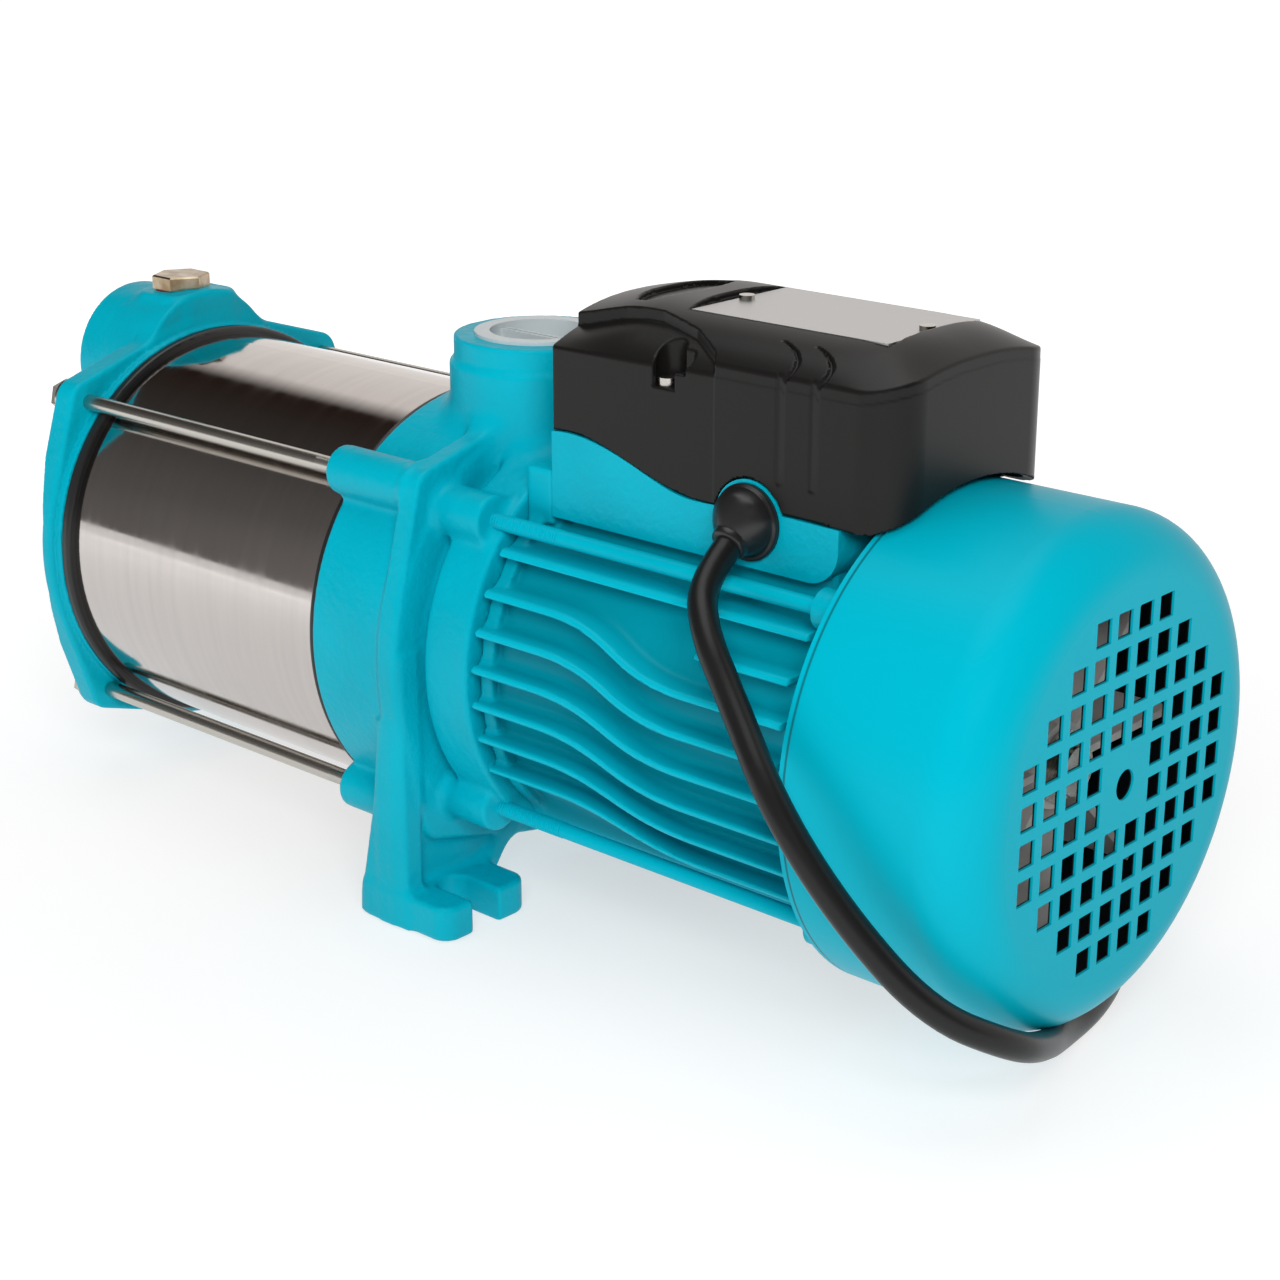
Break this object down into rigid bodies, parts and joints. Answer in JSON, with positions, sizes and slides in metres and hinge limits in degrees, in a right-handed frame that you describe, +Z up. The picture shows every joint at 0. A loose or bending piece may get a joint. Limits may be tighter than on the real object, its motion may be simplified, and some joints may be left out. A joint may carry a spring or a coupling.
{
  "type": "surface water pump",
  "caption": "Horizontal multistage surface pump: stainless sleeve held by tie bolts, cast head and footed bracket, finned motor, terminal box and mains cord.",
  "frame": {"origin": "on the base plane of the feet, under the middle of the pump's length and width", "axes": "+X along the shaft from the suction head to the fan, +Y across, away from the side the cord leaves, +Z up"},
  "size_m": [0.4164, 0.3168, 0.1933],
  "materials": {
    "teal_iron": "satin",
    "teal_aluminium": "satin",
    "teal_steel": "satin",
    "stainless": "polished",
    "seal_rubber": "satin",
    "zinc_steel": "satin",
    "plug_brass": "satin",
    "washer_fibre": "matte",
    "shaft_steel": "satin",
    "bearing_steel": "polished",
    "impeller_steel": "satin",
    "diffuser_plastic": "satin",
    "seal_face": "gloss",
    "seal_steel": "satin",
    "core_sheet": "satin",
    "copper_wire": "gloss",
    "fan_plastic": "satin",
    "box_plastic": "satin",
    "plate_metal": "satin",
    "block_plastic": "matte",
    "terminal_brass": "polished",
    "capacitor_case": "gloss",
    "transit_plastic": "gloss",
    "cord_rubber": "matte",
    "pin_brass": "polished"
  },
  "bodies": {
    "pump_body": {"pump_head": "teal_iron", "bracket": "teal_iron", "motor_housing": "teal_aluminium", "rear_end_shield": "teal_aluminium", "terminal_box_base": "teal_aluminium", "fan_cover": "teal_steel", "motor_studs": "teal_steel", "pump_sleeve": "stainless", "head_gasket": "seal_rubber", "bracket_gasket": "seal_rubber", "tie_bolts": "zinc_steel", "fan_cover_screws": "zinc_steel", "base_screws": "zinc_steel", "box_cover_screws": "zinc_steel", "rating_plate_screws": "zinc_steel", "wave_washer": "zinc_steel", "front_bearing_outer": "bearing_steel", "rear_bearing_outer": "bearing_steel", "diffuser_1": "diffuser_plastic", "diffuser_2": "diffuser_plastic", "diffuser_3": "diffuser_plastic", "diffuser_4": "diffuser_plastic", "stage_ring": "diffuser_plastic", "outlet_ring": "diffuser_plastic", "seal_seat": "seal_face", "stator_core": "core_sheet", "stator_windings": "copper_wire", "terminal_box_cover": "box_plastic", "rating_plate": "plate_metal", "terminal_block": "block_plastic", "terminal_screws": "terminal_brass", "run_capacitor": "capacitor_case", "cable_gland": "cord_rubber", "power_cord": "cord_rubber", "cord_coil": "cord_rubber", "mains_plug": "cord_rubber", "plug_pins": "pin_brass"},
    "rotor": {"shaft": "shaft_steel", "rotor_core": "core_sheet", "impeller_1": "impeller_steel", "impeller_2": "impeller_steel", "impeller_3": "impeller_steel", "impeller_4": "impeller_steel", "impeller_nut": "zinc_steel", "seal_head": "seal_steel", "water_slinger": "seal_rubber", "front_bearing_inner": "bearing_steel", "rear_bearing_inner": "bearing_steel", "front_bearing_balls": "bearing_steel", "rear_bearing_balls": "bearing_steel", "cooling_fan": "fan_plastic", "fan_clip": "zinc_steel"},
    "filler_washer": {"filler_plug_washer": "washer_fibre"},
    "filler_screw": {"filler_plug": "plug_brass"},
    "drain_washer": {"drain_plug_washer": "washer_fibre"},
    "drain_screw": {"drain_plug": "plug_brass"},
    "transit_plug": {"outlet_plug": "transit_plastic"}
  },
  "joints": [
    {"name": "rotor_spin", "type": "hinge", "parent": "pump_body", "child": "rotor", "pos_m": [0, 0, 0.0825], "axis": [1, 0, 0], "continuous": true},
    {"name": "filler_plug_rise", "type": "slide", "parent": "pump_body", "child": "filler_washer", "axis": [0, 0, 1], "range_m": [0, 0.0095]},
    {"name": "filler_plug_turn", "type": "hinge", "parent": "filler_washer", "child": "filler_screw", "pos_m": [-0.177, 0, 0.1625], "axis": [0, 0, 1], "range_deg": [0, 2520]},
    {"name": "drain_plug_draw", "type": "slide", "parent": "pump_body", "child": "drain_washer", "axis": [-1, 0, 0], "range_m": [0, 0.0095]},
    {"name": "drain_plug_turn", "type": "hinge", "parent": "drain_washer", "child": "drain_screw", "pos_m": [-0.192, 0, 0.0365], "axis": [-1, 0, 0], "range_deg": [0, 2520]},
    {"name": "transit_plug_pull", "type": "slide", "parent": "pump_body", "child": "transit_plug", "axis": [0, 0, 1], "range_m": [0, 0.06]}
  ],
  "couplings": [
    {"joint": "filler_plug_rise", "follows": "filler_plug_turn", "m_per_rad": 0.00021279},
    {"joint": "drain_plug_draw", "follows": "drain_plug_turn", "m_per_rad": 0.00021279}
  ]
}
